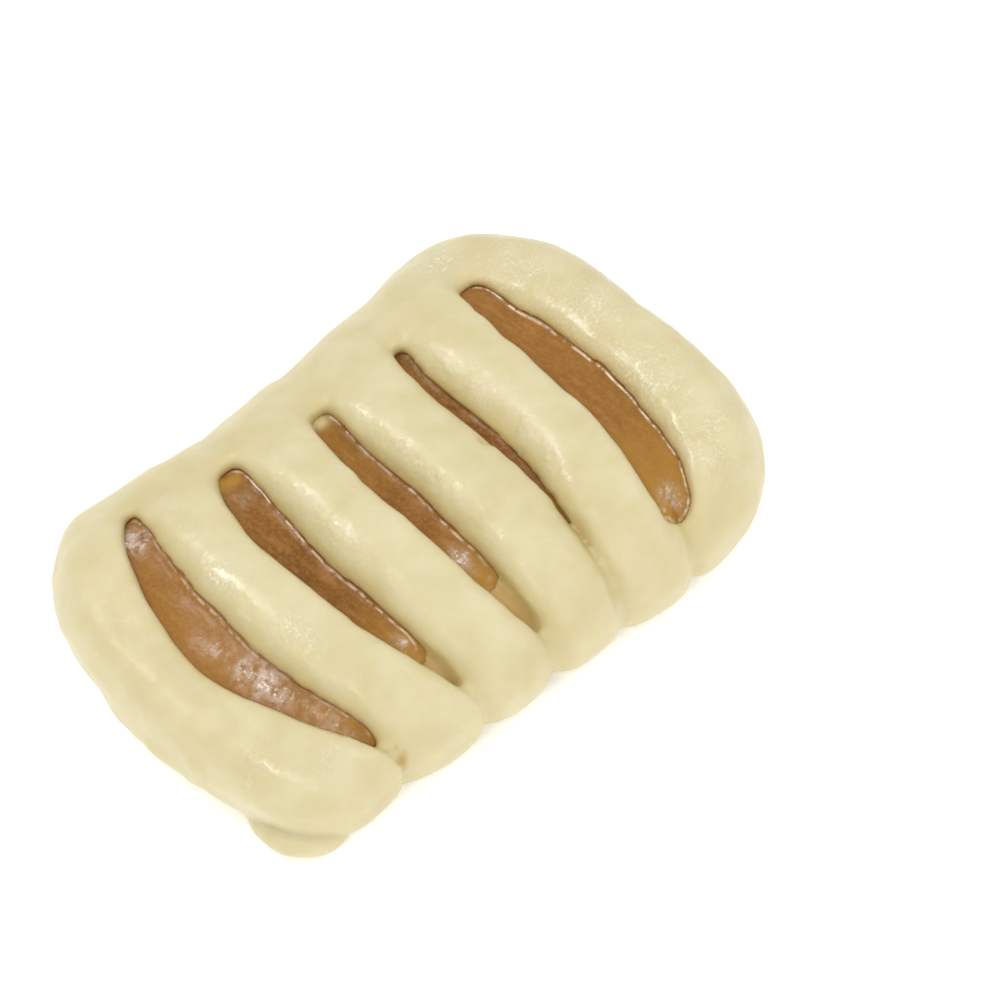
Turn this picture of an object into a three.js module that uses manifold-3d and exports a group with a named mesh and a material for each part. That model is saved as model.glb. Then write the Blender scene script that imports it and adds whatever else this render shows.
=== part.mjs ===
// An unbaked lattice Danish: a jacket of soft dough, slit across the top, wrapped over a bed of fruit filling.
// Millimetres, +Z up. X runs along the pastry, Y along the slits, and Z = 0 is the table it lies on.
import * as THREE from "three";
import { mergeVertices } from "three/addons/utils/BufferGeometryUtils.js";
import Module from "manifold-3d";

const wasm = await Module();
wasm.setup();

// Overall sizes. The near side is -Y and the far side is +Y.
const END_X = 57.2; // centre of the pastry to the outside of either end bar
const BULGE_Z = 7.5; // height at which the long sides bulge furthest
const TUCK_DEPTH = 15; // half height of the curve that tucks the sides in under the bulge
const SIDE_POWER = 2.5; // squareness of the arch from side to side
const ROOT_Z = 1; // depth below the table to which the arch runs before it is trimmed
const BARREL = 0.2; // share of X by which the slits bow in at the distance BARREL_Y from the middle
const BARREL_Y = 30; // distance across the pastry at which that share is taken
const CORNER_POWER = 4.4; // squareness of the plan's corners
const CORNER_Y = 42; // half width at which the rounded ends would meet a point

// The slits, from the -X end: middle, width at the middle, where the two tips lie, and how far the
// bars on either side press into each other beyond the tips.
const SLITS = [
  { x: -42.3, gap: 9, near: -30.5, far: 31, nearPress: 2.4, farPress: 3 },
  { x: -21.8, gap: 7, near: -30, far: 28, nearPress: 2.4, farPress: 3 },
  { x: -2.3, gap: 6.2, near: -32, far: 27.5, nearPress: 2.4, farPress: 3 },
  { x: 16.2, gap: 3.4, near: -28, far: 28, nearPress: 1.6, farPress: 3 },
  { x: 36.2, gap: 8.5, near: -36, far: 30.5, nearPress: 1.4, farPress: 3 },
];
const SLIT_POWER = 4; // bluntness of a slit's tips

// The bars between the slits, from the -X end: height of each crown over the table, and how far
// each reaches to the near and the far side.
const BARS = [
  { crown: 18.5, near: -34.5, far: 38 },
  { crown: 21.5, near: -34, far: 36 },
  { crown: 22.5, near: -34.5, far: 35.5 },
  { crown: 22.5, near: -35.5, far: 36 },
  { crown: 22, near: -37.5, far: 37.5 },
  { crown: 20, near: -38.5, far: 38.5 },
];
const BAR_ROUND = 5.5; // height over which a bar's long edges round off
const BAR_POWER = 2.4; // squareness of that rounding
const BAR_HOLLOW = 0.6; // size of the arch under a bar, as a share of the arch over it
const END_ROUND = 13.5; // height over which an end bar rounds off towards the end of the pastry
const END_DRAW = 0.5; // share of the arch's half width by which that rounding draws the corners in
const END_CREST = 0.42; // where an end bar's crest lies, from its slit to its outside

// The lower dough that the bars lie on, and the fruit filling let into it.
const CORE = { x: 56, y: 33.2, middle: 0, low: -6, high: 14, power: 4.4, crown: 2.8, bow: 0 };
const FILLING = { x: 49, y: 24.5, middle: 0.5, low: 5, high: 16.5, power: 4, crown: 3.4, bow: 1 };
const FILLING_FLARE = 0.3; // share by which the filling spreads towards the two ends
const FIT_GAP = 0.3; // clearance between filling and dough
const WELD = 1e-4; // points closer than this are one point

// The tongue of the bottom sheet that peeps out at the near corner of the -X end.
const TONGUE = { x: -48.3, y: -31, radius: 6.2, length: 26, thickness: 3.2, edge: 1.2, turn: 226 };

const STEPS = { along: 26, across: 14, round: 44, rise: 22 }; // facets of the curved surfaces

const DOUGH_COLOUR = 0xe6dcb2;
const FILLING_COLOUR = 0xa9794a;

// The usual sign-keeping power of superellipse formulas.
const bend = (value, power) => Math.sign(value) * Math.abs(value) ** power;

// How far the slits and the ends draw in towards the middle, across the pastry.
const barrel = (y) => 1 - BARREL * (y / BARREL_Y) ** 2;
const corner = (y) => (1 - Math.min(Math.abs(y) / CORNER_Y, 1) ** CORNER_POWER) ** (1 / CORNER_POWER);

// Half the width of a slit at y. It is negative beyond the tips, where the bars press together.
function halfGap(slit, y) {
  const middle = (slit.near + slit.far) / 2;
  const half = (slit.far - slit.near) / 2;
  const open = (slit.gap / 2) * (1 - Math.abs((y - middle) / half) ** SLIT_POWER);
  return Math.max(open, y < middle ? -slit.nearPress : -slit.farPress);
}

// The two long edges of bar number i at y, and its crest line between them.
function barEdges(i, y) {
  const before = SLITS[i - 1];
  const after = SLITS[i];
  const left = before ? before.x * barrel(y) + halfGap(before, y) : -END_X * corner(y);
  const right = after ? after.x * barrel(y) - halfGap(after, y) : END_X * corner(y);
  let crest = 0.5;
  if (!before) crest = 1 - END_CREST;
  if (!after) crest = END_CREST;
  return { left, right, crest: left + crest * (right - left) };
}

// A point of the arch that a bar follows, at an angle from the near side to the far side.
function archPoint(angle, { crown, near, far }) {
  const side = Math.cos(angle);
  const rise = Math.sin(angle);
  const halfHeight = rise > 0 ? crown - BULGE_Z : TUCK_DEPTH;
  const y = Math.abs(side) ** (2 / SIDE_POWER) * (side > 0 ? near : far);
  return { y, z: BULGE_Z + halfHeight * bend(rise, 2 / SIDE_POWER) };
}

// Closes a row of equal rings of points into one surface, with a flat fan over each end ring.
function skin(rings) {
  const size = rings[0].length;
  const points = rings.flat();
  const index = [];
  for (let r = 0; r + 1 < rings.length; r++) {
    for (let k = 0; k < size; k++) {
      const a = r * size + k;
      const b = r * size + ((k + 1) % size);
      index.push(a, b, a + size, b, b + size, a + size);
    }
  }
  const last = points.length - size;
  for (let k = 1; k + 1 < size; k++) {
    index.push(0, k + 1, k, last, last + k, last + k + 1);
  }
  return new THREE.BufferGeometry().setFromPoints(points).setIndex(index);
}

// Bar number i: a strip of dough with rounded edges that rises from the near side and arches over to the far side.
// Its edges round off towards the middle of the arch, and the outside of an end bar more steeply down.
function bar(i) {
  const under = Math.asin(((BULGE_Z + ROOT_Z) / TUCK_DEPTH) ** (SIDE_POWER / 2));
  const rings = [];
  for (let j = 0; j <= STEPS.along; j++) {
    const angle = -under + ((Math.PI + 2 * under) * j) / STEPS.along;
    const outer = archPoint(angle, BARS[i]);
    const inner = { y: outer.y * BAR_HOLLOW, z: outer.z * BAR_HOLLOW };
    const edges = barEdges(i, outer.y);
    const drop = new THREE.Vector2(inner.y - outer.y, inner.z - outer.z).normalize();
    const endDrop = new THREE.Vector2(-END_DRAW * outer.y, -outer.z).normalize();
    const ring = [];
    for (let k = 0; k <= STEPS.across; k++) {
      const turn = Math.PI * (1 - k / STEPS.across);
      const aside = bend(Math.cos(turn), 2 / BAR_POWER);
      const atEnd = (aside < 0 && i === 0) || (aside > 0 && i === SLITS.length);
      const fall = (atEnd ? END_ROUND : BAR_ROUND) * (1 - Math.sin(turn) ** (2 / BAR_POWER));
      const x = edges.crest + aside * (aside < 0 ? edges.crest - edges.left : edges.right - edges.crest);
      const way = atEnd ? endDrop : drop;
      ring.push(new THREE.Vector3(x, outer.y + way.x * fall, outer.z + way.y * fall));
    }
    ring.push(new THREE.Vector3(i === SLITS.length ? edges.crest : edges.right, inner.y, inner.z));
    ring.push(new THREE.Vector3(i === 0 ? edges.crest : edges.left, inner.y, inner.z));
    rings.push(ring);
  }
  return skin(rings);
}

// A rounded cushion between two heights. The plan is a superellipse that can bow with the slits and flare at its ends.
function cushion({ x, y, middle, low, high, power, crown, bow }, grow = 0, flare = 0) {
  const ball = new THREE.SphereGeometry(1, STEPS.round, STEPS.rise).rotateX(Math.PI / 2);
  const spot = ball.attributes.position;
  const waist = (low + high) / 2;
  const tall = (high - low) / 2 + grow;
  for (let k = 0; k < spot.count; k++) {
    const level = spot.getZ(k);
    const wide = Math.hypot(spot.getX(k), spot.getY(k)) || 1;
    const spread = (1 - Math.min(Math.abs(level), 1) ** 2) ** (1 / crown);
    const plan = (Math.abs(spot.getX(k) / wide) ** power + Math.abs(spot.getY(k) / wide) ** power) ** (-1 / power);
    const px = (spot.getX(k) / wide) * plan * spread;
    const py = middle + (spot.getY(k) / wide) * plan * spread * (1 + flare * px * px) * (y + grow);
    spot.setXYZ(k, px * (x + grow) * barrel(bow * py), py, waist + tall * bend(level, 2 / crown));
  }
  return ball;
}

// The bottom sheet's tongue: a flat tab with a round tip, pushed out from under the end bar.
function tongue() {
  const { x, y, radius, length, thickness, edge, turn } = TONGUE;
  const tab = new THREE.Shape()
    .moveTo(-length, radius)
    .lineTo(-length, -radius)
    .lineTo(-radius, -radius)
    .absarc(-radius, 0, radius, -Math.PI / 2, Math.PI / 2);
  const bevel = { bevelEnabled: true, bevelSize: edge, bevelThickness: edge, bevelOffset: -edge, bevelSegments: 3 };
  return new THREE.ExtrudeGeometry(tab, { depth: thickness - 2 * edge, curveSegments: 12, ...bevel })
    .translate(0, 0, edge)
    .rotateZ(THREE.MathUtils.degToRad(turn))
    .translate(x, y, 0);
}

// A closed geometry as a solid that can be joined and cut.
function solid(geometry) {
  const bare = new THREE.BufferGeometry().setAttribute("position", geometry.attributes.position);
  const merged = mergeVertices(bare.setIndex(geometry.index), WELD);
  const corners = merged.index.array;
  const kept = [];
  for (let k = 0; k < corners.length; k += 3) {
    const [a, b, c] = corners.slice(k, k + 3);
    if (a !== b && b !== c && c !== a) kept.push(a, b, c);
  }
  return new wasm.Manifold(
    new wasm.Mesh({
      numProp: 3,
      vertProperties: new Float32Array(merged.attributes.position.array),
      triVerts: new Uint32Array(kept),
    }),
  );
}

// A solid as a named mesh with its own material.
function node(name, body, material) {
  const { vertProperties, triVerts } = body.getMesh();
  const geometry = new THREE.BufferGeometry()
    .setAttribute("position", new THREE.BufferAttribute(vertProperties, 3))
    .setIndex(new THREE.BufferAttribute(triVerts, 1));
  geometry.computeVertexNormals();
  const mesh = new THREE.Mesh(geometry, new THREE.MeshStandardMaterial(material));
  mesh.name = name;
  return mesh;
}

// The table's half space, which trims everything that is rounded off below Z = 0.
const TABLE_SIDE = 300;
const belowTable = new THREE.BoxGeometry(TABLE_SIDE, TABLE_SIDE, TABLE_SIDE).translate(0, 0, -TABLE_SIDE / 2);

function dough() {
  let body = solid(cushion(CORE)).add(solid(tongue()));
  BARS.forEach((_, i) => {
    body = body.add(solid(bar(i)));
  });
  return body.subtract(solid(cushion(FILLING, FIT_GAP, FILLING_FLARE))).subtract(solid(belowTable));
}

const pastry = new THREE.Group();
pastry.add(
  node("dough", dough(), { color: DOUGH_COLOUR, roughness: 0.5, metalness: 0 }),
  node("filling", solid(cushion(FILLING, 0, FILLING_FLARE)), { color: FILLING_COLOUR, roughness: 0.25, metalness: 0 }),
);

export default pastry;
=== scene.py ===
# The looks of an unbaked lattice Danish: puffy bars of pale dough over a bed of glossy brown fruit filling.
# Lengths below are in millimetres in the part's own frame, and become metres where a mesh is made.
import math
from collections import namedtuple

import bpy
import numpy as np
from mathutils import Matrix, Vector


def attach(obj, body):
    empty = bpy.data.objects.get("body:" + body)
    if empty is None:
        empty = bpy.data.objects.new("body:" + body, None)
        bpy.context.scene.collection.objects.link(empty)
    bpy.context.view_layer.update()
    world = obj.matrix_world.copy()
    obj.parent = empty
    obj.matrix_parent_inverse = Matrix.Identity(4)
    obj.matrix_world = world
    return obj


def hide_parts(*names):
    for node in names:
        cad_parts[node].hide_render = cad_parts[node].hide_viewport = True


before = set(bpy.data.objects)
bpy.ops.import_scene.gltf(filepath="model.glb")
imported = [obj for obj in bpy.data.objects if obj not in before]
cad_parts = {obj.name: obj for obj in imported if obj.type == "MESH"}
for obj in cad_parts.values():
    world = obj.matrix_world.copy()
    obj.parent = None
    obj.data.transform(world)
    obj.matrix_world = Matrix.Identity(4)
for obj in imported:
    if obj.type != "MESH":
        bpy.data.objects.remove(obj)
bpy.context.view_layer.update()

MM = 0.001  # metres in a millimetre
WHITE = (1, 1, 1, 1)

# The camera, at the photograph's viewing angle
LENS = 100
SENSOR = 36
CAMERA_PLACE = (-164.9, -179.0, 379.1)
CAMERA_AIM = (11.8, -8.0, 11.4)

# The outline of each end: its furthest x, the y where that lies, the half widths on its near and far side,
# and its squareness
End = namedtuple("End", "x middle near far power")
LEFT_END = End(-56.2, 4.0, 57.5, 48.8, 2.2)
RIGHT_END = End(56.0, 4.6, 52.6, 38.5, 3.1)
END_REACH = 0.97  # share of those half widths out to which the outline is followed

# The slits: x of the centre line in the middle and at both tips, width in the middle and how much it grows
# towards +Y, y of both tips and their squareness, how far the filling reaches to either side, and how far the
# slope on the right reaches into the bar
Slit = namedtuple("Slit", "x near_x far_x gap skew near far near_power far_power near_fill far_fill slope")
SLITS = [
    Slit(-40.8, -34.0, -32.8, 7.5, 0.24, -26.3, 30.0, 2.4, 1.9, 35.0, 37.0, 4.0),
    Slit(-21.2, -17.9, -17.0, 6.0, 0.35, -28.0, 23.9, 2.6, 3.1, 23.8, 28.0, 4.0),
    Slit(-2.7, -2.5, 0.5, 5.6, 0.2, -29.7, 21.4, 2.8, 4.0, 22.8, 27.0, 4.4),
    Slit(15.3, 13.2, 18.0, 1.8, 0.9, -23.0, 21.0, 1.9, 5.0, 27.0, 29.0, 6.0),
    Slit(35.1, 27.6, 35.7, 8.3, -0.3, -32.3, 23.3, 3.2, 4.0, 46.0, 34.0, 4.0),
]
BEND_POWER = 1.7  # how the centre line's bend sets in towards the tips
SKEW_Y = 30  # distance across the pastry over which a slit's skew is counted
NARROWEST = 0.5  # least share of its width to which the skew narrows a slit
RIM = 2.2  # width over which a slit's rim rounds off
STEEPNESS = 0.75  # of the slope at a slit's right rim
RIDGE = 2.6  # width over which the ridge above that slope rounds off
SLIT_DEPTH = 6.4  # depth of the slits in the middle
NEAR_DEPTH = 2.6  # and at their near tips and far tips
FAR_DEPTH = 4.4
FLOOR_ROUND = 1.0  # width over which a slit's wall runs into its floor

# How the bars sag towards the slits, and the creases where they meet beyond the near tips: depth, and the
# widths of the left and right banks
Sag = namedtuple("Sag", "depth left right")
BAR_SAG = Sag(1.2, 3.2, 5.4)
SAG_FADE = 8.0  # distance over which the sag fades beyond the tips
NEAR_CREASE = Sag(1.5, 0.9, 2.2)
CREASE_REACH = 8.0  # distance over which the near crease sets in before the tip
CREASE_FADE = 9.0  # and over which it fades beyond it

# The bars between the slits: height of the crown, and y of the near and the far side
Bar = namedtuple("Bar", "crown near far")
BARS = [
    Bar(18.5, -32.2, 41.6),
    Bar(21.5, -32.2, 38.5),
    Bar(22.5, -34.5, 35.0),
    Bar(22.5, -36.1, 35.6),
    Bar(22.0, -39.3, 36.4),
    Bar(20.0, -38.5, 38.8),
]
BULGE_Z = 7.5  # height at which the long sides bulge furthest
TUCK_DEPTH = 15  # half height of the curve that tucks the sides in under the bulge
SIDE_POWER = 2.5  # squareness of the arch from side to side

# How the ends round off: distance of the crest from the end, the height over which it does and its squareness
Edge = namedtuple("Edge", "crest height power")
LEFT_EDGE = Edge(7.0, 13.5, 2.5)
RIGHT_EDGE = Edge(9.0, 13.5, 2.5)

# Small nicks and wide dents in the skin: place, radius and depth
NICKS = [
    ((-33.1, -31.2, 14.0), 1.3, 1.0),
    ((-34.4, -34.8, 8.0), 1.4, 1.0),
    ((-36.6, -33.9, 6.0), 1.2, 0.9),
    ((-32.2, -35.4, 9.0), 1.2, 0.9),
    ((13.6, -2.8, 20.5), 1.1, 0.8),
    ((-56.0, 16.0, 8.0), 6.0, 0.9),
    ((-21.0, 37.0, 8.0), 6.0, 2.2),
    ((-38.5, -33.5, 6.0), 6.0, 1.6),
]

# The bed of filling
BED_X = 52.0  # half length
BED_Y = 0.5  # y of the middle
BED_LOW = 5.0
BED_HIGH = 16.9
BED_POWER = 4  # squareness of the plan
NEAR_CROWN = 3  # squareness from the bottom to the top on the near side
FAR_CROWN = 7  # and on the far side
CROWN_Y = 12  # distance from the middle over which one passes into the other
BED_BOW = 0.2  # share of its length by which the bed draws in at the distance BOW_Y from the middle
BOW_Y = 30
COVER_DEPTH = 2.3  # depth of the filling's top under the line of the dough's top
COVER_BLEND = 2.0  # width over which the filling bends to follow that line
FIT_GAP = 0.3  # clearance between filling and dough

# The tongue of the bottom sheet at one corner: its tip, its direction in degrees, its size, the radius of its
# edge, and the share by which one side widens for each radius behind the tip
Tongue = namedtuple("Tongue", "x y turn radius length thickness edge flare")
TONGUE = Tongue(x=-51.0, y=-27.4, turn=226, radius=8.4, length=26.0, thickness=5.0, edge=2.4, flare=0.14)

# How the soft forms run into each other
SOFT_PASSES = 1  # rounds of averaging that soften the bars' rims
TONGUE_BLEND = 0.4  # width of the crease over the tongue
BASE_ROUND = 1.2  # width over which the edge on the table rounds off
POCKET_ROUND = 0.6  # and over which the pocket's rim does
WET_RISE = 0.6  # how high the wet filling climbs the dough, and from how far
WET_REACH = 0.5

# Unevenness of hand-shaped dough: wavelength and height of each layer
WARP = [(17.0, 0.4), (7.0, 0.2)]
RAGGED = [(2.4, 0.14)]
LUMPS = [(13.0, 0.4), (5.0, 0.2), (2.4, 0.06)]
FILLING_LUMPS = [(9.0, 0.2), (2.6, 0.08), (1.3, 0.04)]

# The grid on which the forms are worked out, and the meshes made from it
GRID_STEP = 0.5
GRID_LOW = (-60.0, -41.0, -1.5)
GRID_HIGH = (60.0, 41.0, 25.5)
LATTICE = 32  # random values along each side of the noise block
TINY = 1e-6  # keeps divisors away from zero
UNTANGLE_ROUNDS = 4  # rounds in which crossed squares of the grid are filled, and how deep they then lie
UNTANGLE_DEPTH = 0.05
PULL_ROUNDS = 2  # rounds in which the points are drawn onto the surface
LONGEST_STEP = 0.5  # longest step, in grid cells, that a point takes in a round
THIN_SHARE = 0.2  # share of the dough's hidden triangles that is kept
THIN_FACTOR = 100  # how strongly the visible part is spared
HIDDEN_GAP = 0.15  # how near the pocket's surface or the table a hidden point of the dough lies
OPEN_REACH = 2.0  # distance from a slit within which the pocket's upper rim stays fine

# Seeds of the random values
SEEDS = {"warp_x": 11, "warp_y": 23, "lumps": 37, "filling": 53, "gloss": 71, "glint": 83}

# Where the looks change over the surfaces
# The painted golden shade on the slits' walls: how deep in a slit it is strongest, and how far from the slit
# it fades
WALL_DEPTH = 3.4  # depth at which a slit's wall has its deepest colour
WALL_REACH = 6.0  # distance from the slit over which that colour fades
# This reach also sets how far the painted golden shade on the slits' floors spreads
STAIN_REACH = 0.9  # distance over which the filling's juice stains the dough
FLECK_LOW = 7.0  # height above which the tan flecks show, and over which they fade in
FLECK_FADE = 2.0
FARTHEST = 4.0  # greatest distance from the dough that is kept for the filling's points
THIN_DEPTH = 2.3  # depth of filling over a slit's floor below which the dough shows through
PALENESS = [0.85, 0.12, 0.3, 0.0, 0.6]  # how pale the filling is in each slit
# The next table sets how bright the painted highlight line along the filling's right edge is in each slit
HIGHLIGHT_STRENGTH = [0.4, 1.0, 1.0, 0.0, 1.4]  # how bright its wet line is there
PATCH_SIZE = 1.6  # wavelength of the noise that breaks up the patches, its mean and how far it swings
PATCH_MEAN = 0.7
PATCH_SWING = 0.6

# The gloss on the shoulders beside the slits: its distance from the slit, its width, the share of the slit
# over which it fades at the tips, the wavelengths of its breaks and its strength
Shoulder = namedtuple("Shoulder", "offset width fade long short share")
SHOULDER = Shoulder(offset=3.2, width=2.0, fade=0.3, long=5.0, short=1.2, share=0.55)

# Patches on the dough with painted white glints and sparkling bumps: middle, size along X and Y, and
# strength,
# # as in all tables of patches below
DOUGH_GLINT_PATCHES = [
    (-32.2, 8.2, 1.7, 3.0, 0.9),
    (-31.2, -7.0, 1.9, 4.0, 0.7),
    (-49.4, -17.6, 3.4, 1.8, 0.25),
    (-42.4, -24.6, 2.6, 2.4, 0.25),
    (-15.0, 1.0, 1.6, 5.0, 0.4),
    (3.5, 4.0, 2.0, 8.0, 0.3),
    (21.5, 2.0, 2.2, 9.0, 0.35),
    (43.0, 18.0, 5.0, 7.0, 0.55),
    (44.5, 4.0, 5.0, 8.0, 0.6),
    (42.0, -12.0, 5.0, 9.0, 0.6),
    (40.0, -25.0, 5.0, 7.0, 0.6),
    (36.0, 30.0, 4.0, 3.0, 0.8),
]

# Glossy patches on the dough
DOUGH_GLOSS = [
    (-32.4, 8.0, 2.4, 3.6, 1.0),
    (-31.4, -7.2, 2.2, 4.0, 1.0),
    (-14.8, -1.0, 1.8, 5.0, 0.8),
    (-48.7, -17.4, 4.0, 3.0, 1.5),
    (-43.0, -24.0, 4.0, 3.0, 1.5),
    (44.0, 8.0, 4.0, 18.0, 0.6),
    (37.0, 30.0, 4.0, 3.0, 0.9),
]

# Tan flecks on the dough at one near tip
FLECKS = [
    (-32.0, -29.9, 1.1, 0.6, 1.2),
    (-33.4, -28.2, 0.9, 0.45, 0.6),
    (-31.8, -28.6, 0.5, 0.4, 0.5),
]

# Pale frosty patches on the filling, partly a painted sheen, with painted white glint specks
FROST_AND_GLINT_PATCHES = [
    (-39.0, -7.0, 2.2, 5.0, 1.3),
    (-40.6, 3.4, 1.6, 2.2, 0.9),
    (-35.2, 25.4, 1.7, 2.6, 1.5),
    (-37.1, -19.0, 2.4, 4.4, 0.45),
    (-19.8, -17.6, 1.0, 1.4, 0.8),
    (-18.6, 18.6, 1.8, 1.8, 0.4),
    (-2.6, -13.9, 1.2, 2.2, 1.0),
    (29.6, -28.4, 1.4, 1.6, 1.2),
]

# Golden patches on the filling at one far tip and one near tip
GOLDEN_TIPS = [
    (-20.6, 22.8, 1.6, 1.3, 1.8),
    (-19.0, 22.8, 1.6, 1.3, 1.8),
    (-17.2, 22.6, 1.6, 1.3, 1.8),
    (29.2, -29.2, 3.0, 2.4, 0.9),
]

# Pale patches on the filling at one far tip, where the dough shows through
CREAMY_TIPS = [
    (-3.2, 21.0, 2.6, 1.5, 2.0),
    (0.0, 20.6, 2.0, 1.2, 1.6),
]

# A painted highlight on the filling's wet rim at one near tip
HIGHLIGHT_RIMS = [
    (28.6, -30.6, 3.2, 1.8, 1.4),
]

# The dough's colours
CREAM_DEEP = (0.615, 0.54, 0.295)
CREAM_PALE = (0.675, 0.61, 0.385)
# Painted golden shade on the slits' walls
WALL_SHADE_GOLD = (0.59, 0.50, 0.245)
# Tan of the filling's juice stain and the flecks, also painted as golden shade on the slits' floors
JUICE_AND_SHADE_TAN = (0.47, 0.285, 0.07)
# Painted white glints
PAINTED_GLINT_WHITE = (0.94, 0.92, 0.82)

# The filling's colours
BROWN_DEEP = (0.165, 0.060, 0.006)
BROWN_PALE = (0.352, 0.173, 0.034)
CLOUD_BROWN = (0.29, 0.12, 0.02)
STREAK_BROWN = (0.38, 0.18, 0.05)
GRAIN_BROWN = (0.46, 0.24, 0.07)
# Painted shade where the filling meets the dough
CREVICE_SHADE_BROWN = (0.13, 0.05, 0.012)
THIN_GOLD = (0.42, 0.225, 0.035)
TIP_CREAM = (0.62, 0.51, 0.26)
# Painted highlight on the wet filling
PAINTED_HIGHLIGHT_WHITE = (1.0, 0.85, 0.66)
# Pale frost haze, partly a painted sheen
HAZE_AND_SHEEN_ROSE = (0.72, 0.57, 0.48)
# Painted white glint specks
PAINTED_GLINT_SPECK_WHITE = (0.95, 0.88, 0.80)

# Mottling of the materials: the noise's grain and detail, its low and high mark, what it gives there, and its
# grain along the slits where that differs
Mottle = namedtuple("Mottle", "size detail low high first last along", defaults=(None,))
CREAM_MOTTLE = Mottle(6, 4, 0.3, 0.7, 0, 1)
# Speckle of the painted white glints
PAINTED_GLINTS = Mottle(0.55, 1, 0.52, 0.72, 0, 0.8)
DOUGH_ROUGHNESS = Mottle(5, 2, 0.35, 0.65, 0.5, 0.38)
CLOUDS = Mottle(4, 4, 0.35, 0.65, 0, 0.6, 10)
STREAKS = Mottle(1.1, 3, 0.45, 0.7, 0, 0.65, 4)
GRAINS = Mottle(0.6, 3, 0.45, 0.7, 0, 0.3)
# Breaks in the painted highlight line
HIGHLIGHT_BREAKS = Mottle(1.6, 3, 0.4, 0.56, 0, 1)
# Speckle of the frost haze and painted sheen
HAZE_AND_SHEEN = Mottle(1.3, 3, 0.36, 0.6, 0.2, 1)
# Speckle of the painted white glint specks
GLINT_SPECKS = Mottle(0.7, 1, 0.6, 0.72, 0, 1)
FILLING_ROUGHNESS = Mottle(3, 2, 0.35, 0.65, 0.26, 0.4)

# How a look follows a value on the surface: the value's low and high mark, and what it gives there
Fade = namedtuple("Fade", "low high first last")
# How strongly the painted golden shade tints the slits' walls
WALL_SHADE_TINT = Fade(0, 0.95, 0, 0.95)
# How strongly the juice stain, the flecks and the painted shade on the slits' floors tint the dough
STAIN_AND_SHADE_TINT = Fade(0, 1, 0, 0.9)
GLOSS_SMOOTHS = Fade(0, 0.8, 1, 0.65)
GLOSS_COAT = Fade(0, 0.8, 0.1, 0.9)
# How strong the painted shade is next to the dough
EDGE_SHADE = Fade(0.05, 0.3, 0.3, 0)
THIN_TINT = Fade(0, 1, 0, 0.9)
FROST_SMOOTHS = Fade(0, 0.7, 1, 0.45)

# Where a value lies in a band: the middle of the band and its half width
Band = namedtuple("Band", "middle half")
# Where the painted highlight line lies, in millimetres from the dough
HIGHLIGHT_LINE = Band(0.28, 0.18)
CRINKLE_LINES = Band(0.5, 0.14)

# Fine relief of the materials: grain, detail, strength and depth
Relief = namedtuple("Relief", "size detail strength depth")
COAT_SWELL = Relief(2.2, 2, 0.5, 0.35)
RIPPLES = Relief(1.4, 2, 0.7, 0.5)
SPARKS = Relief(0.6, 1, 0.9, 0.3)
DOUGH_GRAIN = Relief(0.8, 1, 0.35, 0.1)
DOUGH_SWELL = Relief(2.6, 2, 0.5, 0.35)
CRINKLES = Relief(0.9, 2, 0.8, 0.3)
FILLING_GRAIN = Relief(0.6, 2, 0.35, 0.12)
FILLING_SWELL = Relief(2.4, 3, 0.25, 0.35)

# The floor
FLOOR_SIDE = 6000
FLOOR_COLOUR = (0.93, 0.93, 0.93)

# Soft studio light: name, place, side of the square light and power in watts
LIGHTS = [
    ("back_softbox", (-200, 440, 750), 200, 1.8),
    ("left_softbox", (-620, 200, 560), 200, 0.15),
    ("glint_softbox", (-450, -190, 740), 160, 0.85),
    ("right_softbox", (420, -260, 720), 300, 1.2),
    ("front_fill", (-250, -830, 450), 700, 1.6),
]
LIGHTS_AIM = (0, 0, 0)
WORLD_LIGHT = 0.73


# A smooth seeded noise from -1 to 1, with one random value for each cell of the given size
def noise(x, y, z, size, seed):
    block = np.random.default_rng(seed).uniform(-1, 1, (LATTICE,) * 3).astype(np.float32)
    low, high, share = [], [], []
    for value in (x, y, z):
        cell = value / size
        base = np.floor(cell)
        part = (cell - base).astype(np.float32)
        share.append(part * part * part * (part * (part * 6 - 15) + 10))
        low.append(base.astype(np.int64) % LATTICE)
        high.append((low[-1] + 1) % LATTICE)
    total = 0
    for corner_x, weight_x in ((low[0], 1 - share[0]), (high[0], share[0])):
        for corner_y, weight_y in ((low[1], 1 - share[1]), (high[1], share[1])):
            for corner_z, weight_z in ((low[2], 1 - share[2]), (high[2], share[2])):
                total = total + block[corner_x, corner_y, corner_z] * weight_x * weight_y * weight_z
    return total


# The sum of several layers of noise
def layers(x, y, z, table, seed):
    total = 0
    for number, (size, height) in enumerate(table):
        total = total + height * noise(x, y, z, size, seed + number)
    return total


# The lesser or the greater of two distances, with a rounded crease of the given width
def smooth_min(first, second, width):
    share = np.clip(0.5 + 0.5 * (second - first) / width, 0, 1)
    return second + (first - second) * share - width * share * (1 - share)


def smooth_max(first, second, width):
    return -smooth_min(-first, -second, width)


# A smooth step from 0 to 1
def smooth_step(share):
    share = np.clip(share, 0, 1)
    return share * share * (3 - 2 * share)


# A grid of distances with its edges and creases softened, by repeated averaging of neighbours
def softened(field, passes):
    for _ in range(passes):
        for axis in range(3):
            turned = np.moveaxis(field, axis, 0)
            turned[1:-1] = (turned[:-2] + 2 * turned[1:-1] + turned[2:]) / 4
    return field


# The x of an end's outline at y
def end_line(end, y):
    aside = np.where(y < end.middle, (end.middle - y) / end.near, (y - end.middle) / end.far)
    return end.x * (1 - np.minimum(aside, END_REACH) ** end.power) ** (1 / end.power)


# How far the outline draws in under the bulge, as a share
def tuck(z):
    return (1 - (np.maximum(BULGE_Z - z, 0) / TUCK_DEPTH) ** SIDE_POWER) ** (1 / SIDE_POWER)


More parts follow.
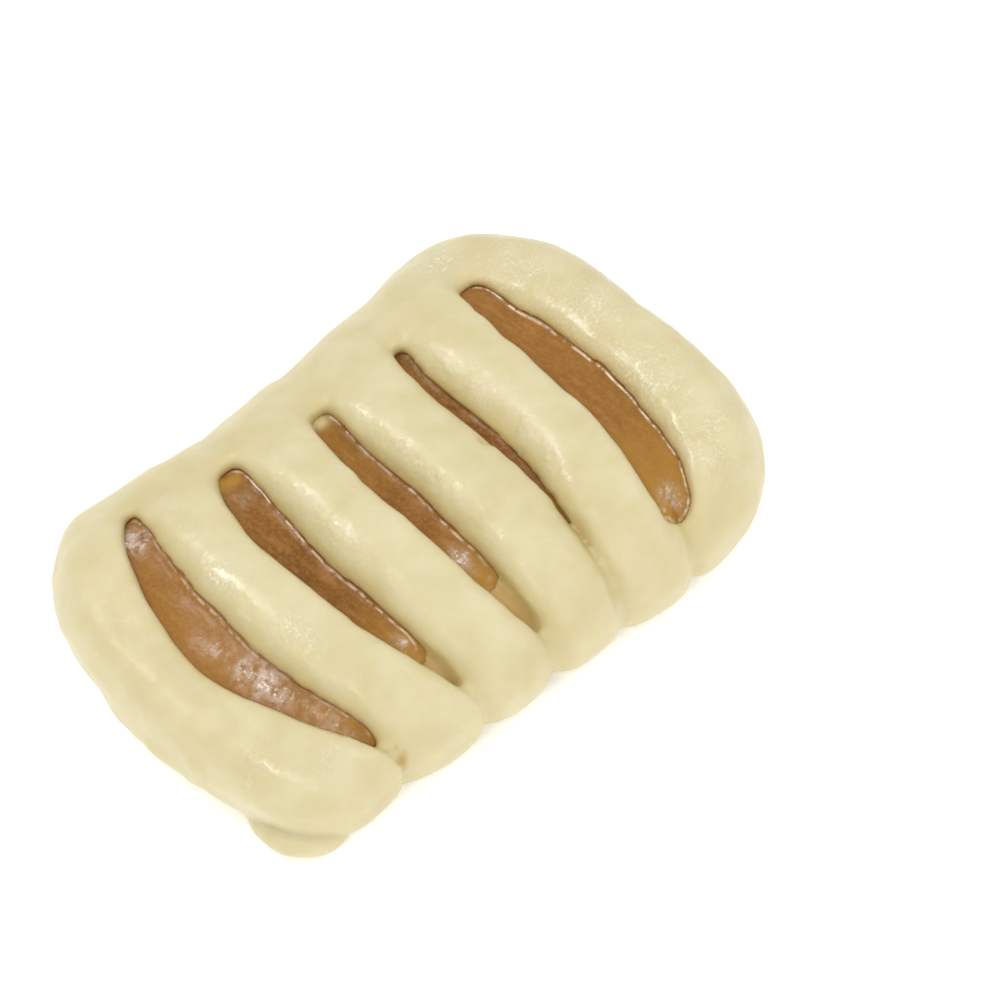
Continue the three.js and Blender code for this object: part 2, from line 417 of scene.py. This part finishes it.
# The x of a slit's centre line at y
def slit_line(slit, y):
    bend = np.where(y < 0, slit.near_x - slit.x, slit.far_x - slit.x)
    return slit.x + bend * (y / np.where(y < 0, slit.near, slit.far)) ** BEND_POWER


# Distance in plan from a slit's outline, a lens about its centre line
def slit_distance(slit, x, y):
    near = y < 0
    tip = np.where(near, -slit.near, slit.far)
    power = np.where(near, slit.near_power, slit.far_power)
    half = slit.gap / 2 * np.maximum(1 + slit.skew * y / SKEW_Y, NARROWEST)
    across = np.abs(x - slit_line(slit, y)) / half
    along = np.abs(y) / tip
    size = np.maximum((across**power + along**power) ** (1 / power), TINY)
    slope = np.hypot((across / size) ** (power - 1) / half, (along / size) ** (power - 1) / tip)
    return (size - 1) / np.maximum(slope, TINY)


# Distance in plan from the nearest slit
def from_slits(x, y):
    return np.min([slit_distance(slit, x, y) for slit in SLITS], axis=0)


# How much the dough sags beside a slit and beyond its tips
def sag_depth(slit, x, y):
    aside = x - slit_line(slit, y)
    total = 0
    beyond = slit.near - y
    crease = smooth_step(1 + beyond / CREASE_REACH) * CREASE_FADE / (CREASE_FADE + np.maximum(beyond, 0))
    fading = SAG_FADE / (SAG_FADE + np.maximum(np.maximum(beyond, y - slit.far), 0))
    for sag, share in ((BAR_SAG, fading), (NEAR_CREASE, crease)):
        bank = np.where(aside < 0, sag.left, sag.right)
        total = total + sag.depth * share * np.exp(-((aside / bank) ** 2))
    return total


# The bars' sizes at x, passing smoothly from the middle of each bar to the next
def bar_sizes(x):
    lines = [LEFT_END.x, *(slit.x for slit in SLITS), RIGHT_END.x]
    middles = [(left + right) / 2 for left, right in zip(lines, lines[1:])]
    place = np.interp(x, middles, range(len(BARS)))
    number = np.clip(np.floor(place).astype(int), 0, len(BARS) - 2)
    share = smooth_step(place - number)
    columns = np.array(BARS).T
    return Bar(*(column[number] * (1 - share) + column[number + 1] * share for column in columns))


# Distance from the arch that the dough's outer surface follows from the near side to the far side
def arch_distance(bar, y, z):
    half_width = np.where(y < 0, -bar.near, bar.far)
    half_height = np.where(z > BULGE_Z, bar.crown - BULGE_Z, TUCK_DEPTH)
    side = np.abs(y) / half_width
    rise = np.abs(z - BULGE_Z) / half_height
    size = np.maximum((side**SIDE_POWER + rise**SIDE_POWER) ** (1 / SIDE_POWER), TINY)
    slope_side = (side / size) ** (SIDE_POWER - 1) / half_width
    slope = np.hypot(slope_side, (rise / size) ** (SIDE_POWER - 1) / half_height)
    return (size - 1) / np.maximum(slope, TINY)


# Distance from the dough's outer surface, an arch that is rounded off towards both ends of the pastry
def rounded_distance(arch, x, y, z):
    left = end_line(LEFT_END, y) * tuck(z)
    right = end_line(RIGHT_END, y) * tuck(z)
    crest, height, power = (np.where(x < 0, *pair) for pair in zip(LEFT_EDGE, RIGHT_EDGE))
    aside = np.maximum(np.maximum(left + crest - x, x - right + crest), 0) / crest
    high = np.maximum(arch + height, 0) / height
    size = np.maximum((high**power + aside**power) ** (1 / power), TINY)
    slope = np.hypot((high / size) ** (power - 1) / height, (aside / size) ** (power - 1) / crest)
    return (size - 1) / np.maximum(slope, TINY)


# Distance from the top sheet of dough before the slits are cut
def cover_distance(x, y, z):
    cover = rounded_distance(arch_distance(bar_sizes(x), y, z), x, y, z)
    for slit in SLITS:
        cover = cover + sag_depth(slit, x, y)
    return cover


# How near a point's y is to the tips of a slit, from 0 in the middle to 1
def to_tip(slit, y):
    return np.clip(y / np.where(y < 0, slit.near, slit.far), 0, 1)


# Distance from the slits' floors, which follow the dough's top
def floor_distance(cover, x, y):
    nearest = np.inf
    depth = 0
    for slit in SLITS:
        aside = np.abs(x - slit_line(slit, y))
        tip_depth = np.where(y < 0, NEAR_DEPTH, FAR_DEPTH)
        slit_depth = SLIT_DEPTH + (tip_depth - SLIT_DEPTH) * to_tip(slit, y) ** 2
        depth = np.where(aside < nearest, slit_depth, depth)
        nearest = np.minimum(aside, nearest)
    return cover + depth


# Distance from the dough with its slits cut, each with a slope down to it on its right
def cut_distance(cover, floor, x, y):
    cut = cover
    for slit in SLITS:
        aside = slit_distance(slit, x, y)
        right_side = smooth_step(0.5 + (x - slit_line(slit, y)) / slit.gap)
        share = right_side * (1 - to_tip(slit, y) ** 2)
        slope = (cover + STEEPNESS * (slit.slope * share - aside)) / math.hypot(1, STEEPNESS)
        opening = smooth_max(aside, -floor, FLOOR_ROUND)
        cut = smooth_max(cut, -opening, RIM)
        cut = smooth_max(cut, np.minimum(slope, smooth_max(cover, floor, RIM)), RIDGE * share + TINY)
    return cut


# How much the nicks lower the dough
def nick_depth(x, y, z):
    total = 0
    for (middle_x, middle_y, middle_z), radius, depth in NICKS:
        apart = ((x - middle_x) ** 2 + (y - middle_y) ** 2 + (z - middle_z) ** 2) / radius**2
        total = total + depth * np.exp(-apart)
    return total


# Distance from the bed of filling, a cushion that reaches as far across as each slit shows
def bed_distance(x, y, z):
    places = [slit.x for slit in SLITS]
    near = np.interp(x, places, [slit.near_fill for slit in SLITS])
    far = np.interp(x, places, [slit.far_fill for slit in SLITS])
    wide_x = BED_X * (1 - BED_BOW * (y / BOW_Y) ** 2)
    wide_y = np.where(y < BED_Y, near, far)
    tall = (BED_HIGH - BED_LOW) / 2
    share_x = np.abs(x) / wide_x
    share_y = np.abs(y - BED_Y) / wide_y
    share_z = np.abs(z - (BED_HIGH + BED_LOW) / 2) / tall
    crown = NEAR_CROWN + (FAR_CROWN - NEAR_CROWN) * smooth_step(0.5 + (y - BED_Y) / (2 * CROWN_Y))
    plan = np.maximum((share_x**BED_POWER + share_y**BED_POWER) ** (1 / BED_POWER), TINY)
    size = np.maximum((plan**crown + share_z**crown) ** (1 / crown), TINY)
    along_plan = (plan / size) ** (crown - 1)
    slope_x = along_plan * (share_x / plan) ** (BED_POWER - 1) / wide_x
    slope_y = along_plan * (share_y / plan) ** (BED_POWER - 1) / wide_y
    slope_z = (share_z / size) ** (crown - 1) / tall
    return (size - 1) / np.maximum(np.sqrt(slope_x**2 + slope_y**2 + slope_z**2), TINY)


# Distance from the tongue of the bottom sheet, a flat tab with a round tip
def tongue_distance(x, y, z):
    turn = math.radians(TONGUE.turn)
    out = (x - TONGUE.x) * math.cos(turn) + (y - TONGUE.y) * math.sin(turn)
    across = -(x - TONGUE.x) * math.sin(turn) + (y - TONGUE.y) * math.cos(turn)
    flare = np.where(across < 0, 1 + TONGUE.flare * np.maximum(-out, 0) / TONGUE.radius, 1)
    beyond = np.maximum(np.maximum(out + TONGUE.radius, -TONGUE.length - out), 0)
    from_axis = np.hypot(across / flare, beyond) - TONGUE.radius
    from_sheet = np.abs(z - TONGUE.thickness / 2) - TONGUE.thickness / 2
    beside = np.maximum(from_axis + TONGUE.edge, 0)
    above = np.maximum(from_sheet + TONGUE.edge, 0)
    inner = np.minimum(np.maximum(from_axis, from_sheet) + TONGUE.edge, 0)
    return np.hypot(beside, above) + inner - TONGUE.edge


# A grid of distances in which no square of four nodes lies in and out crosswise, so that no edge of the mesh
# has four faces
def untangled(field):
    for _ in range(UNTANGLE_ROUNDS):
        for axis in range(3):
            turned = np.moveaxis(field, axis, 2)
            inside = turned < 0
            first, second, third, fourth = inside[:-1, :-1], inside[1:, :-1], inside[:-1, 1:], inside[1:, 1:]
            crosswise = (first == fourth) & (second == third) & (first != second)
            for part_a in (slice(None, -1), slice(1, None)):
                for part_b in (slice(None, -1), slice(1, None)):
                    corner = turned[part_a, part_b]
                    corner[crosswise] = np.minimum(corner[crosswise], -UNTANGLE_DEPTH)
    return field


# Points in millimetres turned into grid units
def grid_spots(points):
    return (points - np.array(GRID_LOW)) / GRID_STEP


# Values of a grid at points between its nodes, in grid units
def sample(grid, points):
    top = np.array(grid.shape) - 2
    base = np.clip(np.floor(points).astype(np.int64), 0, top)
    part = points - base
    total = 0
    for step_x in (0, 1):
        for step_y in (0, 1):
            for step_z in (0, 1):
                weight = np.abs(1 - step_x - part[:, 0])
                weight = weight * np.abs(1 - step_y - part[:, 1]) * np.abs(1 - step_z - part[:, 2])
                total = total + weight * grid[base[:, 0] + step_x, base[:, 1] + step_y, base[:, 2] + step_z]
    return total


# Points and outward quads of the surface where a field on the grid is zero
def surface_net(field):
    cells = tuple(side - 1 for side in field.shape)
    place = np.zeros(cells + (3,), np.float32)
    count = np.zeros(cells, np.float32)
    crossings = []
    for axis in range(3):
        turned = np.moveaxis(field, axis, 0)
        first, second = turned[:-1], turned[1:]
        crossed = (first < 0) != (second < 0)
        share = np.where(crossed, first / np.where(crossed, first - second, 1), 0)
        crossings.append((crossed, first < 0))
        others = [other for other in range(3) if other != axis]
        for step_a in (0, 1):
            for step_b in (0, 1):
                part_a = slice(step_a, step_a + cells[others[0]])
                part_b = slice(step_b, step_b + cells[others[1]])
                hit = np.moveaxis(crossed[:, part_a, part_b], 0, axis)
                count += hit
                place[..., axis] += np.moveaxis(share[:, part_a, part_b], 0, axis)
                place[..., others[0]] += step_a * hit
                place[..., others[1]] += step_b * hit
    active = count > 0
    numbers = np.full(cells, -1, np.int64)
    numbers[active] = np.arange(int(active.sum()))
    points = np.argwhere(active) + place[active] / count[active][:, None]
    quads = []
    for axis, (crossed, from_inside) in enumerate(crossings):
        inner = crossed[:, 1:-1, 1:-1]
        spots = np.argwhere(inner) + np.array([0, 1, 1])
        outward = from_inside[:, 1:-1, 1:-1][inner]
        ring = []
        for step_a, step_b in ((-1, -1), (0, -1), (0, 0), (-1, 0)):
            corner = (spots[:, 0], spots[:, 1] + step_a, spots[:, 2] + step_b)
            ring.append(np.moveaxis(numbers, axis, 0)[corner])
        quad = np.stack(ring, axis=1)
        flipped = outward == (axis == 1)
        quad[flipped] = quad[flipped][:, ::-1]
        quads.append(quad)
    for _ in range(PULL_ROUNDS):
        value = sample(field, points)
        slope = np.stack([sample(part, points) for part in np.gradient(field)], axis=1)
        step = value[:, None] * slope / np.maximum((slope**2).sum(axis=1), TINY)[:, None]
        points = points - np.clip(step, -LONGEST_STEP, LONGEST_STEP)
    return points * GRID_STEP + np.array(GRID_LOW), np.concatenate(quads)


# How deep a point lies in a slit, from 0 to 1, fading away from the slit: where the painted golden shade on
# the walls lies
def wall_depth(x, y, z):
    depth = np.clip(-arch_distance(bar_sizes(x), y, z) / WALL_DEPTH, 0, 1)
    return depth * np.exp(-((np.maximum(from_slits(x, y), 0) / WALL_REACH) ** 2))


# The strength of soft patches at points, broken up by noise
def patches(points, table, seed):
    strength = np.zeros(len(points))
    for middle_x, middle_y, size_x, size_y, share in table:
        apart = ((points[:, 0] - middle_x) / size_x) ** 2 + ((points[:, 1] - middle_y) / size_y) ** 2
        strength = np.maximum(strength, share * np.exp(-apart))
    broken = PATCH_MEAN + PATCH_SWING * noise(*points.T, PATCH_SIZE, seed)
    return np.clip(strength * broken, 0, 1)


# The strength of the broken gloss on the shoulder to the right of each slit
def shoulders(points):
    x, y, z = points.T
    strength = np.zeros(len(points))
    for slit in SLITS:
        aside = (x - slit_line(slit, y) - slit.gap / 2 - SHOULDER.offset) / SHOULDER.width
        along = smooth_step((y / np.where(y < 0, slit.near, slit.far) - 1) / -SHOULDER.fade)
        strength = np.maximum(strength, np.exp(-(aside**2)) * along)
    broken = noise(x, y, z, SHOULDER.long, SEEDS["gloss"]) + noise(x, y, z, SHOULDER.short, SEEDS["glint"])
    return SHOULDER.share * strength * smooth_step(0.5 + broken)


# A new object in the scene
def new_object(name, data):
    made = bpy.data.objects.new(name, data)
    bpy.context.scene.collection.objects.link(made)
    return made


# Puts a camera or light at a place and turns it towards another
def aim_object(made, place, aim):
    made.location = Vector(place) * MM
    made.rotation_euler = (Vector(aim) - Vector(place)).to_track_quat("-Z", "Y").to_euler()


# A mesh from points in millimetres, and the places of its points in millimetres
def new_mesh(name, points, quads):
    mesh = bpy.data.meshes.new(name)
    mesh.from_pydata((points * MM).tolist(), [], quads.tolist())
    return mesh


def mesh_points(mesh):
    places = np.empty(len(mesh.vertices) * 3, np.float32)
    mesh.vertices.foreach_get("co", places)
    return places.reshape(-1, 3) / MM


# A mesh with fewer faces where it is hidden
def thinned(mesh, hidden):
    holder = new_object(mesh.name, mesh)
    group = holder.vertex_groups.new(name="hidden")
    group.add(np.flatnonzero(hidden).tolist(), 1, "REPLACE")
    modifier = holder.modifiers.new("thin", "DECIMATE")
    modifier.ratio = 1 - hidden.mean() * (1 - THIN_SHARE)
    modifier.vertex_group = group.name
    modifier.vertex_group_factor = THIN_FACTOR
    thin = bpy.data.meshes.new_from_object(holder.evaluated_get(bpy.context.evaluated_depsgraph_get()))
    bpy.data.objects.remove(holder)
    return thin


# A piece from a mesh, with one float attribute for each named column
def mesh_piece(name, mesh, columns, material):
    mesh.shade_smooth()
    for column, values in columns.items():
        mesh.attributes.new(column, "FLOAT", "POINT").data.foreach_set("value", values.astype(np.float32))
    mesh.materials.append(material)
    return new_object(name, mesh)


# A material's nodes: a small set of helpers
class Shader:
    def __init__(self, name):
        self.material = bpy.data.materials.new(name)
        self.material.use_nodes = True
        self.tree = self.material.node_tree
        self.surface = self.tree.nodes["Principled BSDF"]
        self.place = self.tree.nodes.new("ShaderNodeTexCoord").outputs["Object"]

    def link(self, source, target):
        self.tree.links.new(source, target)

    # Links a value to a socket of the surface
    def feed(self, socket, source):
        self.link(source, self.surface.inputs[socket])

    # Sets sockets of the surface that are the same all over
    def set(self, **values):
        for name, value in values.items():
            self.surface.inputs[name.replace("_", " ")].default_value = value

    def attribute(self, name):
        made = self.tree.nodes.new("ShaderNodeAttribute")
        made.attribute_name = name
        return made.outputs["Fac"]

    # Noise with grains of the given size, and of another size along the slits where one is given
    def noise(self, size, detail, along=None):
        scaled = self.tree.nodes.new("ShaderNodeVectorMath")
        scaled.operation = "MULTIPLY"
        scaled.inputs[1].default_value = [1 / (side * MM) for side in (size, along or size, size)]
        self.link(self.place, scaled.inputs[0])
        made = self.tree.nodes.new("ShaderNodeTexNoise")
        made.inputs["Scale"].default_value = 1
        made.inputs["Detail"].default_value = detail
        self.link(scaled.outputs["Vector"], made.inputs["Vector"])
        return made.outputs["Fac"]

    # A value's low and high mark turned into the first and last result, without going beyond them
    def span(self, value, low, high, first=0.0, last=1.0):
        made = self.tree.nodes.new("ShaderNodeMapRange")
        made.inputs["From Min"].default_value = low
        made.inputs["From Max"].default_value = high
        made.inputs["To Min"].default_value = first
        made.inputs["To Max"].default_value = last
        self.link(value, made.inputs["Value"])
        return made.outputs["Result"]

    # The result of one kind of mottling
    def mottle(self, kind):
        made = self.noise(kind.size, kind.detail, kind.along)
        return self.span(made, kind.low, kind.high, kind.first, kind.last)

    # One where the value is in the middle of a band, falling to zero at its edges
    def band(self, value, middle, half):
        rising = self.span(value, middle - half, middle)
        falling = self.span(value, middle, middle + half, 1, 0)
        return self.times(rising, falling)

    def times(self, first, second):
        made = self.tree.nodes.new("ShaderNodeMath")
        made.operation = "MULTIPLY"
        self.link(first, made.inputs[0])
        self.link(second, made.inputs[1])
        return made.outputs["Value"]

    # A mix of two colours, each a fixed one or the result of another node
    def mix(self, share, first, second):
        made = self.tree.nodes.new("ShaderNodeMix")
        made.data_type = "RGBA"
        self.link(share, made.inputs["Factor"])
        for value, target in ((first, made.inputs["A"]), (second, made.inputs["B"])):
            if isinstance(value, tuple):
                target.default_value = (*value, 1)
            else:
                self.link(value, target)
        return made.outputs["Result"]

    # Bump from a height, upon another bump where one is given
    def bump(self, height, strength, depth, below=None):
        made = self.tree.nodes.new("ShaderNodeBump")
        made.inputs["Strength"].default_value = strength
        made.inputs["Distance"].default_value = depth * MM
        self.link(height, made.inputs["Height"])
        if below is not None:
            self.link(below, made.inputs["Normal"])
        return made.outputs["Normal"]

    # Bump from one kind of relief, weakened by a share where one is given
    def relief(self, kind, below=None, share=None):
        height = self.noise(kind.size, kind.detail)
        if share is not None:
            height = self.times(share, height)
        return self.bump(height, kind.strength, kind.depth, below)


# Raw dough: pale cream, soft and faintly translucent, with painted golden shade in the slits, a juice stain
# # partly painted as shade, and a moist skin that sparkles with painted white glints
def dough_material():
    shader = Shader("dough_skin")
    gloss = shader.attribute("gloss")
    frost_and_glints = shader.attribute("frost_and_glints")
    cream = shader.mix(shader.mottle(CREAM_MOTTLE), CREAM_DEEP, CREAM_PALE)
    # Painted golden shade on the slits' walls, deepest low in the slits
    shaded_walls = shader.mix(shader.span(shader.attribute("wall_shade"), *WALL_SHADE_TINT), cream, WALL_SHADE_GOLD)
    # Juice stain and tan flecks, and painted golden shade on the slits' floors
    stained_and_shaded = shader.mix(shader.span(shader.attribute("stain_and_shade"), *STAIN_AND_SHADE_TINT), shaded_walls, JUICE_AND_SHADE_TAN)
    # Painted white glints in the sparkling patches
    painted_glint_share = shader.times(frost_and_glints, shader.mottle(PAINTED_GLINTS))
    shader.feed("Base Color", shader.mix(painted_glint_share, stained_and_shaded, PAINTED_GLINT_WHITE))
    smoother = shader.span(gloss, *GLOSS_SMOOTHS)
    shader.feed("Roughness", shader.times(shader.mottle(DOUGH_ROUGHNESS), smoother))
    shader.feed("Coat Weight", shader.span(gloss, *GLOSS_COAT))
    shader.feed("Coat Normal", shader.relief(COAT_SWELL))
    rippled = shader.relief(RIPPLES, share=gloss)
    sparked = shader.relief(SPARKS, rippled, frost_and_glints)
    grainy = shader.relief(DOUGH_GRAIN, sparked)
    shader.feed("Normal", shader.relief(DOUGH_SWELL, grainy))
    shader.set(Subsurface_Weight=0.4, Subsurface_Radius=(1, 0.65, 0.3), Subsurface_Scale=2.5 * MM, IOR=1.45)
    shader.set(Coat_Roughness=0.2, Coat_IOR=1.45)
    return shader.material


# Fruit filling: caramel brown, grainy and wet, golden or creamy where it is thin, with a painted highlight
# line
# # beside the dough, painted shade at its edges, and crinkled frosty patches with painted sheen and glint
# specks
def filling_material():
    shader = Shader("fruit_filling")
    distance = shader.attribute("to_dough")
    frost_and_glints = shader.attribute("frost_and_glints")
    brown = shader.mix(shader.attribute("paleness"), BROWN_DEEP, BROWN_PALE)
    cloudy = shader.mix(shader.mottle(CLOUDS), brown, CLOUD_BROWN)
    streaky = shader.mix(shader.mottle(STREAKS), cloudy, STREAK_BROWN)
    grained = shader.mix(shader.mottle(GRAINS), streaky, GRAIN_BROWN)
    # Painted shade along the filling's edges beside the dough
    crevice_shaded = shader.mix(shader.span(distance, *EDGE_SHADE), grained, CREVICE_SHADE_BROWN)
    thin = shader.mix(shader.span(shader.attribute("thinness"), *THIN_TINT), crevice_shaded, THIN_GOLD)
    creamy = shader.mix(shader.attribute("cream"), thin, TIP_CREAM)
    # Painted highlight line along the filling's right edges, and at one near tip
    broken_highlight = shader.times(shader.attribute("painted_highlight"), shader.mottle(HIGHLIGHT_BREAKS))
    highlighted = shader.mix(shader.times(broken_highlight, shader.band(distance, *HIGHLIGHT_LINE)), creamy, PAINTED_HIGHLIGHT_WHITE)
    # Frost haze, partly a painted sheen, in the frosty patches
    frosted_and_sheened = shader.mix(shader.times(frost_and_glints, shader.mottle(HAZE_AND_SHEEN)), highlighted, HAZE_AND_SHEEN_ROSE)
    # Painted white glint specks in the frosty patches
    shader.feed("Base Color", shader.mix(shader.times(frost_and_glints, shader.mottle(GLINT_SPECKS)), frosted_and_sheened, PAINTED_GLINT_SPECK_WHITE))
    smoother = shader.span(frost_and_glints, *FROST_SMOOTHS)
    shader.feed("Roughness", shader.times(shader.mottle(FILLING_ROUGHNESS), smoother))
    lines = shader.band(shader.noise(CRINKLES.size, CRINKLES.detail), *CRINKLE_LINES)
    crinkled = shader.bump(shader.times(frost_and_glints, lines), CRINKLES.strength, CRINKLES.depth)
    grainy = shader.relief(FILLING_GRAIN, crinkled)
    shader.feed("Normal", shader.relief(FILLING_SWELL, grainy))
    shader.set(Subsurface_Weight=0.3, Subsurface_Radius=(1, 0.45, 0.18), Subsurface_Scale=2 * MM, IOR=1.36)
    shader.set(Specular_IOR_Level=0.28, Coat_Weight=0.1, Coat_Roughness=0.08, Coat_IOR=1.36)
    return shader.material


# The white floor, which glows faintly
def floor_material():
    shader = Shader("floor_white")
    shader.set(Base_Color=(*FLOOR_COLOUR, 1), Roughness=0.7)
    shader.set(Emission_Color=WHITE, Emission_Strength=0.25)
    return shader.material


# The grid, and the same grid warped as soft dough is
axes = [np.arange(low, high + GRID_STEP / 2, GRID_STEP, dtype=np.float32)
        for low, high in zip(GRID_LOW, GRID_HIGH)]
grid_x, grid_y, grid_z = np.meshgrid(*axes, indexing="ij")
soft_x = grid_x + layers(grid_x, grid_y, grid_z, WARP + RAGGED, SEEDS["warp_x"])
soft_y = grid_y + layers(grid_x, grid_y, grid_z, WARP, SEEDS["warp_y"])

# The dough's form: the body with its slits and the tongue, with a pocket for the filling
cover = cover_distance(soft_x, soft_y, grid_z)
floor_field = floor_distance(cover, soft_x, soft_y)
bars = softened(cut_distance(cover, floor_field, soft_x, soft_y), SOFT_PASSES)
body = smooth_min(bars, tongue_distance(soft_x, soft_y, grid_z), TONGUE_BLEND)
body = body + layers(grid_x, grid_y, grid_z, LUMPS, SEEDS["lumps"]) + nick_depth(grid_x, grid_y, grid_z)
bed = smooth_max(bed_distance(grid_x, grid_y, grid_z), cover + COVER_DEPTH, COVER_BLEND)
dough_field = smooth_max(body, FIT_GAP - bed, POCKET_ROUND)
dough_field = smooth_max(dough_field, -grid_z, BASE_ROUND)

# The filling's form: its cushion, uneven on top, climbing the dough where it wets it
uneven = bed + layers(grid_x, grid_y, grid_z, FILLING_LUMPS, SEEDS["filling"])
filling_field = uneven - WET_RISE * np.exp(-np.abs(dough_field) / WET_REACH)

# The dough, with fewer faces in the pocket and underneath
dough_points, dough_quads = surface_net(untangled(dough_field))
above_bed = dough_points[:, 2] > (BED_LOW + BED_HIGH) / 2
open_above = from_slits(dough_points[:, 0], dough_points[:, 1]) < OPEN_REACH
in_pocket = np.abs(sample(bed, grid_spots(dough_points)) - FIT_GAP) < HIDDEN_GAP
hidden = (in_pocket & ~(above_bed & open_above)) | (dough_points[:, 2] < HIDDEN_GAP)
dough_mesh = thinned(new_mesh("pastry_dough_fine", dough_points, dough_quads), hidden)
skin_points = mesh_points(dough_mesh)
skin_spots = grid_spots(skin_points)
juice = np.exp(-np.maximum(sample(bed, skin_spots) - FIT_GAP, 0) / STAIN_REACH)
# Painted golden shade on the slits' floors
floor_shade = np.exp(-np.abs(sample(floor_field, skin_spots)) / STAIN_REACH)
flecks = patches(skin_points, FLECKS, SEEDS["glint"])
flecks = flecks * smooth_step((skin_points[:, 2] - FLECK_LOW) / FLECK_FADE)
dough_columns = {
    # Painted golden shade deep in the slits
    "wall_shade": wall_depth(*skin_points.T),
    # Juice stain, tan flecks and painted shade on the slits' floors
    "stain_and_shade": np.max([juice, floor_shade, flecks], axis=0),
    # Patches of painted white glints and sparkling bumps
    "frost_and_glints": patches(skin_points, DOUGH_GLINT_PATCHES, SEEDS["lumps"]),
    "gloss": np.maximum(patches(skin_points, DOUGH_GLOSS, SEEDS["glint"]), shoulders(skin_points)),
}
dough = mesh_piece("pastry_dough", dough_mesh, dough_columns, dough_material())

# The filling
filling_points, filling_quads = surface_net(untangled(filling_field))
filling_spots = grid_spots(filling_points)
slit_places = [slit.x for slit in SLITS]
slope_x = sample(np.gradient(dough_field, axis=0), filling_spots) / GRID_STEP
# How strongly the painted highlight line shows, on right-hand edges
right_side = np.clip(-slope_x, 0, 1) * np.interp(filling_points[:, 0], slit_places, HIGHLIGHT_STRENGTH)
over_floor = 1 - smooth_step(sample(floor_field, filling_spots) / THIN_DEPTH)
filling_columns = {
    "paleness": np.interp(filling_points[:, 0], slit_places, PALENESS),
    "to_dough": np.clip(sample(dough_field, filling_spots), 0, FARTHEST),
    # Strength of the painted highlight
    "painted_highlight": np.maximum(right_side, patches(filling_points, HIGHLIGHT_RIMS, SEEDS["glint"])),
    "thinness": np.maximum(over_floor, patches(filling_points, GOLDEN_TIPS, SEEDS["glint"])),
    "cream": patches(filling_points, CREAMY_TIPS, SEEDS["glint"]),
    # Frosty patches, partly a painted sheen, with painted glint specks
    "frost_and_glints": patches(filling_points, FROST_AND_GLINT_PATCHES, SEEDS["filling"]),
}
filling_mesh = new_mesh("fruit_filling", filling_points, filling_quads)
filling = mesh_piece("fruit_filling", filling_mesh, filling_columns, filling_material())

# Both pieces ride on the part's one body, each in place of a node
for piece, name in ((dough, "dough"), (filling, "filling")):
    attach(piece, "root")
    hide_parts(name)

# The floor
half_side = FLOOR_SIDE / 2 * MM
corners = [(right * half_side, back * half_side, 0) for right, back in ((-1, -1), (1, -1), (1, 1), (-1, 1))]
floor_mesh = bpy.data.meshes.new("floor")
floor_mesh.from_pydata(corners, [], [(0, 1, 2, 3)])
floor_mesh.materials.append(floor_material())
floor = new_object("floor", floor_mesh)

# The camera
camera_data = bpy.data.cameras.new("camera")
camera_data.lens = LENS
camera_data.sensor_width = SENSOR
camera = new_object("camera", camera_data)
aim_object(camera, CAMERA_PLACE, CAMERA_AIM)
bpy.context.scene.camera = camera

# The lights and the white surroundings
for name, place, side, power in LIGHTS:
    light_data = bpy.data.lights.new(name, "AREA")
    light_data.size = side * MM
    light_data.energy = power
    aim_object(new_object(name, light_data), place, LIGHTS_AIM)
world = bpy.data.worlds.new("world")
world.use_nodes = True
background = world.node_tree.nodes["Background"]
background.inputs["Color"].default_value = WHITE
background.inputs["Strength"].default_value = WORLD_LIGHT
bpy.context.scene.world = world
bpy.context.scene.view_settings.view_transform = "Standard"
